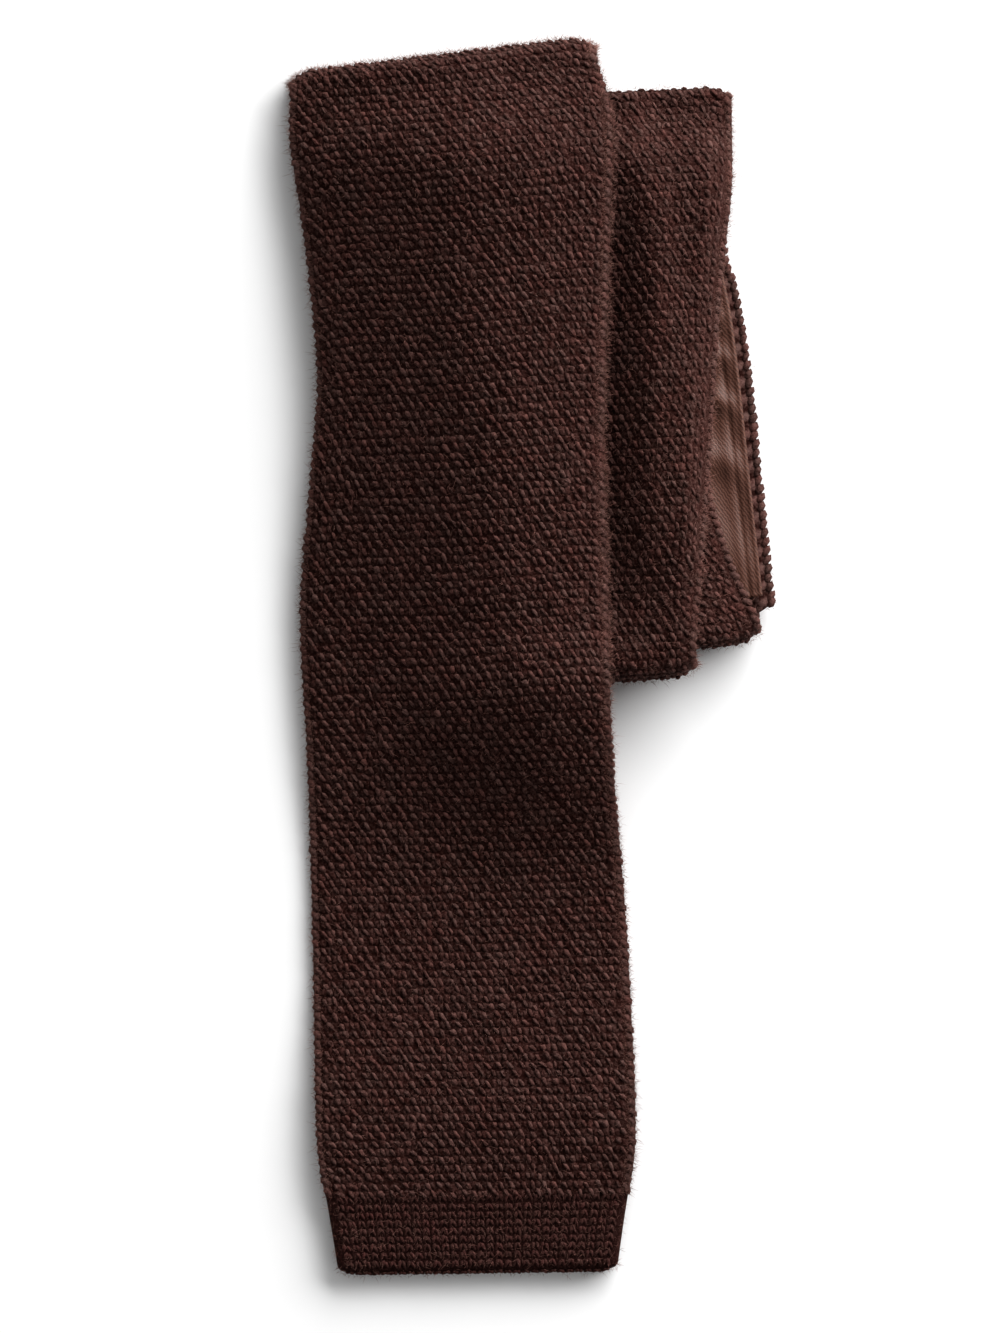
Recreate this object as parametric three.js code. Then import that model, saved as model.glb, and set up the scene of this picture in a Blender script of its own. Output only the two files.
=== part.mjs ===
import * as THREE from 'three';

// A knitted wool tie, rolled up flat from its narrow end and laid down with the wide blade on top.
// Millimetres, +Z up. +Y points to the blade's top fold, -Y to its square end. The origin is the
// middle of the surface that the tie covers.

// The strip and its pieces
const bladeWidth = 71;
const neckWidth = 54.5;
const tailWidth = 47;
const knitThickness = 2.1;
const hemLength = 17.8;
const hemThickness = 1.8;
const hemAllowance = 4;
const liningThickness = 1;
const liningInset = 3;
const liningEndInset = 4;
const liningHidden = 8;
const layerGap = 0.45;
const seamGap = 0.3;

// The runs between the folds, each measured along its own middle, and each one's turn from the
// Y axis in degrees, positive where the run heads down and to the right
const bladeLength = 251.5;
const underLength = 142.6;
const secondLength = 131.5;
const thirdLength = 124.6;
const fourthLength = 106;
const tailLength = 101.5;
const bladeTurn = 1.7;
const underTurn = 12;
const secondTurn = -3.2;
const thirdTurn = 4.7;
const fourthTurn = 8.4;
const tailTurn = 10.6;

// The folds: how far each crease is turned up at its right end, and how the cloth stands there
const topFoldTurn = 6.7;
const lowerFoldTurn = 4.5;
const neckFoldTurn = 3.3;
const innerFoldTurn = 6;
const tailFoldTurn = 5;
const hemLineTurn = 0.8;
const foldLoft = 1;
const loftReach = 13;
const foldCornerPull = 1.4;
const foldDepthShare = 0.75;
const leastFoldDepth = 0.85 * knitThickness;

// How the cloth comes down beside what lies under it
const restMargin = 3;
const hemRise = 55;
const hemRiseShare = 0.8;
const bladeDrape = 30;
const innerDrape = 10;

// The mesh
const acrossSteps = 10;
const foldSteps = 8;
const runStep = 6.5;
const edgeRound = 0.45;

const rad = THREE.MathUtils.degToRad;
const down = (turn) => new THREE.Vector2(Math.sin(rad(turn)), -Math.cos(rad(turn)));
const across = (turn) => new THREE.Vector2(Math.cos(rad(turn)), Math.sin(rad(turn)));
const lerp = THREE.MathUtils.lerp;

// Where each edge of a run lies beside its middle, as shares of the run's width. The blade is drawn
// in at its top corners and over the stack's left side, where it comes down to the floor.
const straightEdges = [
  { along: 0, left: -0.5, right: 0.5 },
  { along: 1, left: -0.5, right: 0.5 },
];
const bladeEdges = [
  { along: 0, left: -0.480, right: 0.480 },
  { along: 0.04, left: -0.488, right: 0.520 },
  { along: 0.13, left: -0.450, right: 0.508 },
  { along: 0.26, left: -0.418, right: 0.478 },
  { along: 0.34, left: -0.446, right: 0.466 },
  { along: 0.47, left: -0.494, right: 0.466 },
  { along: 0.60, left: -0.485, right: 0.466 },
  { along: 0.75, left: -0.484, right: 0.496 },
  { along: 0.92, left: -0.489, right: 0.511 },
  { along: 0.97, left: -0.485, right: 0.504 },
  { along: 1, left: -0.468, right: 0.484 },
];
const hemEdges = [
  { along: 0, left: -0.464, right: 0.480 },
  { along: 0.45, left: -0.448, right: 0.459 },
  { along: 1, left: -0.430, right: 0.436 },
];
const secondEdges = [
  { along: 0, left: -0.5, right: 0.5 },
  { along: 0.3, left: -0.5, right: 0.508 },
  { along: 0.7, left: -0.5, right: 0.508 },
  { along: 0.85, left: -0.5, right: 0.522 },
  { along: 1, left: -0.5, right: 0.5 },
];
const thirdEdges = [
  { along: 0, left: -0.5, right: 0.5 },
  { along: 0.3, left: -0.5, right: 0.44 },
  { along: 0.6, left: -0.5, right: 0.47 },
  { along: 1, left: -0.5, right: 0.5 },
];
const fourthEdges = [
  { along: 0, left: -0.5, right: 0.5 },
  { along: 0.12, left: -0.5, right: 0.42 },
  { along: 0.32, left: -0.5, right: 0.36 },
  { along: 0.6, left: -0.5, right: 0.42 },
  { along: 1, left: -0.5, right: 0.5 },
];
const tailEdges = [
  { along: 0, left: -0.5, right: 0.5 },
  { along: 0.15, left: -0.5, right: 0.595 },
  { along: 0.3, left: -0.5, right: 0.615 },
  { along: 0.45, left: -0.5, right: 0.6 },
  { along: 0.7, left: -0.5, right: 0.553 },
  { along: 1, left: -0.5, right: 0.5 },
];

// The value of one column at a place along a table, on a smooth curve through its rows
function readTable(rows, along, column) {
  const last = rows.length - 1;
  const t = Math.min(Math.max(along, 0), 1);
  let i = 0;
  while (i < last - 1 && t > rows[i + 1].along) i += 1;
  const slope = (k) => {
    const a = rows[Math.max(k - 1, 0)];
    const b = rows[Math.min(k + 1, last)];
    return (b[column] - a[column]) / (b.along - a.along);
  };
  const from = rows[i];
  const to = rows[i + 1];
  const span = to.along - from.along;
  const s = (t - from.along) / span;
  const rise = s * s * (3 - 2 * s);
  return from[column] * (1 - rise) + to[column] * rise
    + span * (slope(i) * s * (1 - s) ** 2 - slope(i + 1) * s * s * (1 - s));
}

// The creases, found by walking the strip from the blade's top fold to the tail's end
const walk = (from, turn, length) => from.clone().addScaledVector(down(turn), length);
const topCrease = new THREE.Vector2(0, 0);
const hemSeam = walk(topCrease, bladeTurn, bladeLength);
const hemEnd = walk(hemSeam, bladeTurn, hemLength);
const lowerCrease = walk(topCrease, underTurn, underLength);
const neckCrease = walk(lowerCrease, secondTurn, -secondLength);
const innerCrease = walk(neckCrease, thirdTurn, thirdLength);
const tailCrease = walk(innerCrease, fourthTurn, -fourthLength);
const tailEnd = walk(tailCrease, tailTurn, tailLength);

const hemLift = hemThickness + layerGap;

// The strip's runs, in the order in which the yarn was knitted from the blade to the tail.
// level counts the layers from the floor up.
const runs = [
  { name: 'blade', start: hemSeam, end: topCrease, startTurn: hemLineTurn, endTurn: topFoldTurn,
    startWidth: bladeWidth, endWidth: bladeWidth, edges: bladeEdges, backwards: true, level: 6 },
  { name: 'under', start: topCrease, end: lowerCrease, startTurn: topFoldTurn, endTurn: lowerFoldTurn,
    startWidth: bladeWidth * 0.96, endWidth: neckWidth, edges: straightEdges, level: 0 },
  { name: 'second', start: lowerCrease, end: neckCrease, startTurn: lowerFoldTurn, endTurn: neckFoldTurn,
    startWidth: neckWidth, endWidth: neckWidth, edges: secondEdges, level: 5 },
  { name: 'third', start: neckCrease, end: innerCrease, startTurn: neckFoldTurn, endTurn: innerFoldTurn,
    startWidth: neckWidth, endWidth: tailWidth, edges: thirdEdges, level: 1 },
  { name: 'fourth', start: innerCrease, end: tailCrease, startTurn: innerFoldTurn, endTurn: tailFoldTurn,
    startWidth: tailWidth, endWidth: tailWidth, edges: fourthEdges, level: 4 },
  { name: 'tail', start: tailCrease, end: tailEnd, startTurn: tailFoldTurn, endTurn: tailTurn,
    startWidth: tailWidth, endWidth: tailWidth, edges: tailEdges, level: 2 },
];
const run = Object.fromEntries(runs.map((r) => [r.name, r]));

// A point of a run in plan: along from 0 to 1 in the strip's order, side from -1 (left) to 1
function planPoint(r, along, side) {
  const share = r.backwards ? 1 - along : along;
  const width = lerp(r.startWidth, r.endWidth, along);
  const edge = readTable(r.edges, share, side < 0 ? 'left' : 'right');
  const middle = r.start.clone().lerp(r.end, along);
  const turn = lerp(r.startTurn, r.endTurn, along);
  return middle.addScaledVector(across(turn), Math.abs(side) * edge * width);
}

// The outline of a run in plan, and how far a point lies outside it
function outlineOf(r) {
  const steps = 12;
  const left = [];
  const right = [];
  for (let i = 0; i <= steps; i += 1) {
    left.push(planPoint(r, i / steps, -1));
    right.push(planPoint(r, i / steps, 1));
  }
  return [...left, ...right.reverse()];
}

function distanceOutside(outline, point) {
  let nearest = Infinity;
  let inside = false;
  outline.forEach((a, i) => {
    const b = outline[(i + 1) % outline.length];
    const edge = b.clone().sub(a);
    const t = THREE.MathUtils.clamp(point.clone().sub(a).dot(edge) / edge.lengthSq(), 0, 1);
    nearest = Math.min(nearest, point.distanceTo(a.clone().addScaledVector(edge, t)));
    const crosses = (a.y > point.y) !== (b.y > point.y);
    if (crosses && point.x < a.x + edge.x * (point.y - a.y) / edge.y) inside = !inside;
  });
  return inside ? 0 : nearest;
}

// The layers that lie one on another, from the floor up, and the room that each takes
const layers = [
  { outline: outlineOf(run.under), room: knitThickness + layerGap },
  { outline: outlineOf(run.third), room: knitThickness + layerGap },
  { outline: outlineOf(run.tail), room: knitThickness + layerGap },
  { outline: outlineOf(run.tail), room: liningThickness + layerGap },
  { outline: outlineOf(run.fourth), room: knitThickness + layerGap },
  { outline: outlineOf(run.second), room: knitThickness + layerGap },
];

// Each fold stands up a little, which lifts its upper run and everything above it
const lofts = [
  { from: planPoint(run.under, 0, -1), to: planPoint(run.under, 0, 1), level: 6 },
  { from: planPoint(run.second, 0, -1), to: planPoint(run.second, 0, 1), level: 5 },
  { from: planPoint(run.second, 1, -1), to: planPoint(run.second, 1, 1), level: 5 },
  { from: planPoint(run.fourth, 0, -1), to: planPoint(run.fourth, 0, 1), level: 4 },
  { from: planPoint(run.fourth, 1, -1), to: planPoint(run.fourth, 1, 1), level: 4 },
];

const smooth = (x) => THREE.MathUtils.smoothstep(x, 0, 1);

function underside(level, point) {
  const drape = level === run.blade.level ? bladeDrape : innerDrape;
  let height = 0;
  for (const layer of layers.slice(0, level)) {
    const away = distanceOutside(layer.outline, point) - restMargin;
    height += layer.room * (1 - smooth(away / drape));
  }
  for (const loft of lofts.filter((l) => l.level <= level)) {
    height += foldLoft * (1 - smooth(distanceOutside([loft.from, loft.to], point) / loftReach));
  }
  return height;
}

// The blade also rises onto its hem, whose back wall lies between it and the floor
function bladeRise(point) {
  const toSeam = point.clone().sub(hemSeam).dot(down(bladeTurn));
  return hemLift * smooth((toSeam + hemRise) / (hemRise * hemRiseShare));
}

// The middle of the knit's thickness at a plan point of a run
function knitHeight(r, point) {
  const rise = r === run.blade ? bladeRise(point) : 0;
  return underside(r.level, point) + rise + knitThickness / 2;
}

// The sides of the mesh's columns, closer together towards the cloth's edges
const sides = Array.from({ length: acrossSteps + 1 }, (_, j) => {
  const even = 2 * j / acrossSteps - 1;
  return Math.sin(even * Math.PI / 2) * 0.35 + even * 0.65;
});

// How deep a fold reaches beyond the ends of its two runs, and how its corners are drawn in
const cornerPull = (side) => foldCornerPull * Math.abs(side) ** 12;
const foldDepth = (low, high) => Math.max(foldDepthShare * (high - low) / 2, leastFoldDepth);

// One crease between two runs: for each column, where the runs end and how high each lies there
function makeFold(before, after, turn, isTop) {
  const outward = down(turn).multiplyScalar(isTop ? -1 : 1);
  const columns = sides.map((side) => {
    const line = planPoint(after, 0, side).addScaledVector(outward, -cornerPull(side));
    const upper = before.level > after.level ? before : after;
    const lower = upper === before ? after : before;
    const high = knitHeight(upper, line);
    const low = knitHeight(lower, line);
    const depth = foldDepth(low, high);
    const foot = line.clone().addScaledVector(outward, -depth - knitThickness / 2);
    return { foot, depth, from: knitHeight(before, foot), to: knitHeight(after, foot) };
  });
  const rows = [];
  for (let k = 1; k < foldSteps; k += 1) {
    const angle = Math.PI * k / foldSteps;
    rows.push(columns.map(({ foot, depth, from, to }) => {
      const p = foot.clone().addScaledVector(outward, depth * Math.sin(angle));
      return new THREE.Vector3(p.x, p.y, lerp(from, to, (1 - Math.cos(angle)) / 2));
    }));
  }
  return { feet: columns.map((c) => c.foot), rows };
}

const folds = [
  makeFold(run.blade, run.under, topFoldTurn, true),
  makeFold(run.under, run.second, lowerFoldTurn, false),
  makeFold(run.second, run.third, neckFoldTurn, true),
  makeFold(run.third, run.fourth, innerFoldTurn, false),
  makeFold(run.fourth, run.tail, tailFoldTurn, true),
];

// A run between its two folds, or from a fold to a free end
function runRows(r, startFeet, endFeet) {
  const length = r.start.distanceTo(r.end);
  const steps = Math.ceil(length / runStep);
  const rows = [];
  for (let i = 0; i <= steps; i += 1) {
    const along = i / steps;
    rows.push(sides.map((side, j) => {
      const first = startFeet ? startFeet[j].clone().sub(planPoint(r, 0, side)) : new THREE.Vector2();
      const final = endFeet ? endFeet[j].clone().sub(planPoint(r, 1, side)) : new THREE.Vector2();
      const p = planPoint(r, along, side).addScaledVector(first, 1 - along).addScaledVector(final, along);
      return new THREE.Vector3(p.x, p.y, knitHeight(r, p));
    }));
  }
  return rows;
}

const knitRows = runs.flatMap((r, i) => {
  const startFeet = i > 0 ? folds[i - 1].feet : null;
  const endFeet = i < folds.length ? folds[i].feet : null;
  return [...runRows(r, startFeet, endFeet), ...(endFeet ? folds[i].rows : [])];
});

// A closed wall round a sheet's middle surface, thinned to nothing at its two sides and squared
// off at its two ends
function wallGeometry(rows, thickness) {
  const columns = rows[0].length;
  const normalAt = (i, j) => {
    const a = rows[Math.max(i - 1, 0)][j];
    const b = rows[Math.min(i + 1, rows.length - 1)][j];
    const c = rows[i][Math.max(j - 1, 0)];
    const d = rows[i][Math.min(j + 1, columns - 1)];
    return d.clone().sub(c).cross(b.clone().sub(a)).normalize();
  };
  const positions = [];
  const ring = 2 * columns - 2;
  rows.forEach((row, i) => {
    const half = row.map((p, j) => {
      const edge = j === 0 || j === columns - 1;
      const toEdge = Math.min(p.distanceTo(row[0]), p.distanceTo(row[columns - 1]));
      const round = Math.min(toEdge / (thickness * edgeRound), 1);
      return edge ? 0 : thickness / 2 * Math.sqrt(1 - (1 - round) ** 2);
    });
    const place = (j, sign) => row[j].clone().addScaledVector(normalAt(i, j), sign * half[j]);
    for (let j = 0; j < columns; j += 1) positions.push(...place(j, 1).toArray());
    for (let j = columns - 2; j > 0; j -= 1) positions.push(...place(j, -1).toArray());
  });
  const faces = [];
  for (let i = 0; i < rows.length - 1; i += 1) {
    for (let k = 0; k < ring; k += 1) {
      const a = i * ring + k;
      const b = i * ring + (k + 1) % ring;
      faces.push(a, b, b + ring, a, b + ring, a + ring);
    }
  }
  const lastRing = (rows.length - 1) * ring;
  for (let j = 0; j < columns - 1; j += 1) {
    const under = (ring - j) % ring;
    const underNext = ring - j - 1;
    for (const [base, flip] of [[0, true], [lastRing, false]]) {
      const corners = [base + j, base + j + 1, base + underNext, base + under];
      if (flip) corners.reverse();
      const [p, q, r, s] = corners;
      if (new Set([p, q, r]).size === 3) faces.push(p, q, r);
      if (new Set([p, r, s]).size === 3) faces.push(p, r, s);
    }
  }
  const geometry = new THREE.BufferGeometry();
  geometry.setAttribute('position', new THREE.Float32BufferAttribute(positions, 3));
  geometry.setIndex(faces);
  return geometry;
}

// The hem: a front wall that carries on from the knit, a round bottom edge and a back wall that
// runs up again under the knit
function hemRows() {
  const frontHeight = hemLift + hemThickness / 2;
  const radius = hemLift / 2;
  const hemPoint = (along, side) => {
    const edge = readTable(hemEdges, along, side < 0 ? 'left' : 'right');
    const middle = hemSeam.clone().lerp(hemEnd, along);
    return middle.addScaledVector(across(hemLineTurn), Math.abs(side) * edge * bladeWidth);
  };
  const foot = (radius + hemThickness / 2) / hemLength;
  const rows = [];
  const front = 4;
  for (let i = 0; i <= front; i += 1) {
    const along = lerp(seamGap / hemLength, 1 - foot, i / front);
    rows.push(sides.map((side) => {
      const p = hemPoint(along, side);
      return new THREE.Vector3(p.x, p.y, frontHeight);
    }));
  }
  for (let k = 1; k < foldSteps; k += 1) {
    const angle = Math.PI * k / foldSteps;
    const reach = 1 - foot + radius * Math.sin(angle) / hemLength;
    rows.push(sides.map((side) => {
      const p = hemPoint(reach, side);
      p.addScaledVector(down(bladeTurn), -cornerPull(side) * Math.sin(angle) / 2);
      return new THREE.Vector3(p.x, p.y, lerp(frontHeight, hemThickness / 2, (1 - Math.cos(angle)) / 2));
    }));
  }
  const back = 5;
  for (let i = 0; i <= back; i += 1) {
    const along = lerp(1 - foot, -hemAllowance / hemLength, i / back);
    rows.push(sides.map((side) => {
      const p = hemPoint(Math.max(along, 0), side * 0.97);
      p.addScaledVector(down(bladeTurn), Math.min(along, 0) * hemLength);
      return new THREE.Vector3(p.x, p.y, hemThickness / 2);
    }));
  }
  return rows;
}

// The lining lies on the tail's back, inside its edges
function liningRows() {
  const rows = [];
  const steps = Math.ceil(tailLength / runStep);
  const insetSide = 1 - 2 * liningInset / tailWidth;
  for (let i = 0; i <= steps; i += 1) {
    const along = lerp(liningHidden / tailLength, 1 - liningEndInset / tailLength, i / steps);
    rows.push(sides.map((side) => {
      const p = planPoint(run.tail, along, side * insetSide);
      const height = underside(run.tail.level + 1, p) + liningThickness / 2;
      return new THREE.Vector3(p.x, p.y, height);
    }));
  }
  return rows;
}

// The pieces, each with its own material
function piece(name, geometry, color, roughness) {
  const material = new THREE.MeshStandardMaterial({ color, roughness, metalness: 0, name });
  const mesh = new THREE.Mesh(geometry, material);
  mesh.name = name;
  return mesh;
}

const tie = new THREE.Group();
tie.add(piece('knit_body', wallGeometry(knitRows, knitThickness), 0x33201c, 0.95));
tie.add(piece('blade_hem', wallGeometry(hemRows(), hemThickness), 0x2c1916, 0.95));
tie.add(piece('lining', wallGeometry(liningRows(), liningThickness), 0x70503f, 0.45));

// The origin moves to the middle of what the tie covers
const box = new THREE.Box3().setFromObject(tie);
tie.position.set(-(box.min.x + box.max.x) / 2, -(box.min.y + box.max.y) / 2, -box.min.z);

export default tie;
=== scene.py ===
import math

import bmesh
import bpy
import numpy as np
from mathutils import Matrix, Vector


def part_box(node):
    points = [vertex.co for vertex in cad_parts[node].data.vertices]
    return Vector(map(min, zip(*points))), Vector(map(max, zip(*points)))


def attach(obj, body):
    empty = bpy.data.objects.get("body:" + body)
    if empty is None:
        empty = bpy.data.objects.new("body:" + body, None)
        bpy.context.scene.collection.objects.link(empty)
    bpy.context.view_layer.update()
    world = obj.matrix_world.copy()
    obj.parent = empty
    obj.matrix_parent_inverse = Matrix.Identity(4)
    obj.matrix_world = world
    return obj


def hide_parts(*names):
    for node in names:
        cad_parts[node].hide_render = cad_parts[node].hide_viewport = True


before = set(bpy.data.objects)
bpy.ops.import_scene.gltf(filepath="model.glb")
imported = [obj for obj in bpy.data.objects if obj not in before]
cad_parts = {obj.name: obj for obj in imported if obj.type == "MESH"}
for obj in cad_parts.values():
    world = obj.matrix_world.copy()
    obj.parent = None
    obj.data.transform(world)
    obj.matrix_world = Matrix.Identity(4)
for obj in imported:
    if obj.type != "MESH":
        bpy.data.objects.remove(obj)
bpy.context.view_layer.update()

# Camera: straight above the tie, as in the photograph, whose frame is 220 mm wide at half the tie's
# height and lies a little below and to the left of the tie's middle.
photo_height = 0.2933
photo_middle = (-0.0069, -0.0020)
camera_height = 1.9
tie_mid_height = 0.009
film_height = 36.0
camera_data = bpy.data.cameras.new("camera")
camera_data.sensor_fit = "VERTICAL"
camera_data.sensor_height = film_height
camera_data.lens = film_height * (camera_height - tie_mid_height) / photo_height
camera_data.clip_end = 20
camera = bpy.data.objects.new("camera", camera_data)
camera.location = (*photo_middle, camera_height)
bpy.context.collection.objects.link(camera)
bpy.context.scene.camera = camera
bpy.context.scene.view_settings.view_transform = "Standard"
bpy.context.scene.view_settings.look = "Medium High Contrast"


# Table: a plain near-white surface under the tie.
table_half_side = 1.5
table_mesh = bmesh.new()
bmesh.ops.create_grid(table_mesh, x_segments=1, y_segments=1, size=table_half_side)
table_data = bpy.data.meshes.new("table")
table_mesh.to_mesh(table_data)
table_mesh.free()
table = bpy.data.objects.new("table", table_data)
bpy.context.collection.objects.link(table)
table_paint = bpy.data.materials.new("table_paint")
table_paint.use_nodes = True
table_shader = table_paint.node_tree.nodes["Principled BSDF"]
table_shader.inputs["Base Color"].default_value = (0.93, 0.93, 0.93, 1)
table_shader.inputs["Roughness"].default_value = 0.9
table_shader.inputs["Specular IOR Level"].default_value = 0.1
table_data.materials.append(table_paint)


# Light: one wide soft box, low beyond the top fold and to the right, aimed at the tie's middle, and
# a dim, even room.
key_place = (1.1, 1.25, 0.70)
key_data = bpy.data.lights.new("key_light", "AREA")
key_data.shape = "RECTANGLE"
key_data.size = 2.4
key_data.size_y = 1.0
key_data.energy = 80
key_light = bpy.data.objects.new("key_light", key_data)
key_light.location = key_place
key_lean = math.atan2(math.hypot(key_place[0], key_place[1]), key_place[2])
key_light.rotation_euler = (key_lean, 0, math.atan2(key_place[0], -key_place[1]))
bpy.context.collection.objects.link(key_light)
world = bpy.data.worlds.new("room")
world.use_nodes = True
world.node_tree.nodes["Background"].inputs["Color"].default_value = (1, 1, 1, 1)
world.node_tree.nodes["Background"].inputs["Strength"].default_value = 0.34
bpy.context.scene.world = world


# Knitted strip: one length of wool knit, rolled up flat from its narrow end. Six runs lie one on
# another between five folds. What follows lays the strip's middle surface out as a grid, with a
# row every few millimetres of its length, and the knit is modelled on that grid.
MM = 0.001
blade_width = 71 * MM
under_width = blade_width * 0.96
neck_width = 54.5 * MM
tail_width = 47 * MM
knit_thickness = 2.1 * MM
hem_length = 17.8 * MM
hem_thickness = 1.8 * MM
lining_thickness = 1 * MM
layer_gap = 0.45 * MM
fold_loft = 1 * MM
loft_reach = 13 * MM
fold_corner_pull = 2.2 * MM
fold_corner_reach = 6 * MM
fold_depth_share = 0.75
least_fold_depth = 0.85 * knit_thickness
rest_margin = 3 * MM
blade_drape = 44 * MM
inner_drape = 10 * MM
hem_rise = 55 * MM
hem_rise_share = 0.8
hem_line_turn = 0.8
hem_lift = hem_thickness + layer_gap

straight_edges = {"along": [0, 1], "left": [-0.5, -0.5], "right": [0.5, 0.5]}
blade_edges = {
    "along": [0, 0.04, 0.13, 0.26, 0.34, 0.47, 0.60, 0.75, 0.92, 0.97, 1],
    "left": [-0.480, -0.488, -0.450, -0.418, -0.446, -0.494, -0.485, -0.484, -0.489, -0.485, -0.468],
    "right": [0.480, 0.520, 0.508, 0.478, 0.466, 0.466, 0.466, 0.496, 0.511, 0.504, 0.484],
}
hem_edges = {"along": [0, 0.45, 1], "left": [-0.464, -0.448, -0.430], "right": [0.480, 0.459, 0.436]}
second_edges = {
    "along": [0, 0.3, 0.7, 0.85, 1],
    "left": [-0.5, -0.5, -0.5, -0.5, -0.5],
    "right": [0.5, 0.508, 0.508, 0.522, 0.5],
}
third_edges = {"along": [0, 0.3, 0.6, 1], "left": [-0.5] * 4, "right": [0.5, 0.44, 0.47, 0.5]}
fourth_edges = {
    "along": [0, 0.12, 0.32, 0.6, 1],
    "left": [-0.5, -0.5, -0.5, -0.5, -0.5],
    "right": [0.5, 0.42, 0.36, 0.42, 0.5],
}
tail_edges = {
    "along": [0, 0.15, 0.3, 0.45, 0.7, 1],
    "left": [-0.5, -0.5, -0.5, -0.5, -0.5, -0.5],
    "right": [0.5, 0.600, 0.622, 0.607, 0.560, 0.506],
}


def down(turn):
    """The direction down the photograph, turned by some degrees."""
    return np.array([math.sin(math.radians(turn)), -math.cos(math.radians(turn))])


def read_table(table, along, column):
    """One column of a table, on a smooth curve through its values."""
    places = np.array(table["along"], float)
    values = np.array(table[column], float)
    before = np.maximum(np.arange(len(places)) - 1, 0)
    after = np.minimum(np.arange(len(places)) + 1, len(places) - 1)
    slope = (values[after] - values[before]) / (places[after] - places[before])
    t = np.clip(along, 0, 1)
    i = np.clip(np.searchsorted(places, t, side="right") - 1, 0, len(places) - 2)
    span = places[i + 1] - places[i]
    s = (t - places[i]) / span
    rise = s * s * (3 - 2 * s)
    ends = values[i] * (1 - rise) + values[i + 1] * rise
    return ends + span * (slope[i] * s * (1 - s) ** 2 - slope[i + 1] * s * s * (1 - s))


run_slant = {"blade": 1.7, "under": 12, "second": -3.2, "third": 4.7, "fourth": 8.4, "tail": 10.6}
run_length = {
    "blade": 251.5, "under": 142.6, "second": 131.5, "third": 124.6, "fourth": 106, "tail": 101.5,
}


def run_step(name):
    """The way from a run's upper crease to its lower end."""
    return down(run_slant[name]) * run_length[name] * MM


blade_way = down(run_slant["blade"])
tail_way = down(run_slant["tail"])
top_crease = np.zeros(2)
hem_seam = top_crease + run_step("blade")
hem_end = hem_seam + blade_way * hem_length
lower_crease = top_crease + run_step("under")
neck_crease = lower_crease - run_step("second")
inner_crease = neck_crease + run_step("third")
tail_crease = inner_crease - run_step("fourth")
tail_end = tail_crease + run_step("tail")
top_turn = 6.7
lower_turn = 4.5
neck_turn = 3.3
inner_turn = 6
tail_turn = 5


def run_of(start, end, turns, widths, edges, level, backwards=False):
    return {
        "start": start, "end": end, "turns": turns, "widths": widths,
        "edges": edges, "level": level, "backwards": backwards,
    }


blade_run = run_of(
    hem_seam, top_crease, (hem_line_turn, top_turn), (blade_width, blade_width), blade_edges, 6, True)
under_run = run_of(
    top_crease, lower_crease, (top_turn, lower_turn), (under_width, neck_width), straight_edges, 0)
second_run = run_of(
    lower_crease, neck_crease, (lower_turn, neck_turn), (neck_width, neck_width), second_edges, 5)
third_run = run_of(
    neck_crease, inner_crease, (neck_turn, inner_turn), (neck_width, tail_width), third_edges, 1)
fourth_run = run_of(
    inner_crease, tail_crease, (inner_turn, tail_turn), (tail_width, tail_width), fourth_edges, 4)
tail_run = run_of(
    tail_crease, tail_end, (tail_turn, run_slant["tail"]), (tail_width, tail_width), tail_edges, 2)
runs = [blade_run, under_run, second_run, third_run, fourth_run, tail_run]


def plan_points(run, along, side):
    """Where a run's points lie in plan, at shares along it and at sides from -1 to 1."""
    along = np.asarray(along, float)[..., None]
    side = np.asarray(side, float)
    share = 1 - along if run["backwards"] else along
    width = run["widths"][0] + (run["widths"][1] - run["widths"][0]) * along
    turn = np.radians(run["turns"][0] + (run["turns"][1] - run["turns"][0]) * along)
    left = read_table(run["edges"], share, "left")
    right = read_table(run["edges"], share, "right")
    reach = np.abs(side) * np.where(side < 0, left, right) * width
    middle = run["start"] + (run["end"] - run["start"]) * along
    x = middle[..., :1] + np.cos(turn) * reach
    y = middle[..., 1:] + np.sin(turn) * reach
    return np.stack([x, y], axis=-1)


def outline_of(run):
    edges = plan_points(run, np.linspace(0, 1, 13), np.array([-1.0, 1.0]))
    return np.concatenate([edges[:, 0], edges[::-1, 1]])


def distance_outside(outline, points):
    nearest = np.full(points.shape[:-1], np.inf)
    inside = np.zeros(points.shape[:-1], bool)
    for a, b in zip(outline, np.roll(outline, -1, axis=0)):
        edge = b - a
        t = np.clip(((points - a) @ edge) / max(edge @ edge, 1e-12), 0, 1)
        nearest = np.minimum(nearest, np.linalg.norm(points - a - t[..., None] * edge, axis=-1))
        if len(outline) > 2 and a[1] != b[1]:
            crosses = (a[1] > points[..., 1]) != (b[1] > points[..., 1])
            inside ^= crosses & (points[..., 0] < a[0] + edge[0] * (points[..., 1] - a[1]) / edge[1])
    return np.where(inside, 0, nearest)


def smooth_step(x):
    x = np.clip(x, 0, 1)
    return x * x * (3 - 2 * x)


knit_room = knit_thickness + layer_gap
lining_room = lining_thickness + layer_gap
layers = [
    (outline_of(under_run), knit_room), (outline_of(third_run), knit_room),
    (outline_of(tail_run), knit_room), (outline_of(tail_run), lining_room),
    (outline_of(fourth_run), knit_room), (outline_of(second_run), knit_room),
]
both_sides = np.array([-1.0, 1.0])
lofts = [
    (plan_points(under_run, 0, both_sides), 6), (plan_points(second_run, 0, both_sides), 5),
    (plan_points(second_run, 1, both_sides), 5), (plan_points(fourth_run, 0, both_sides), 4),
    (plan_points(fourth_run, 1, both_sides), 4),
]


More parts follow.
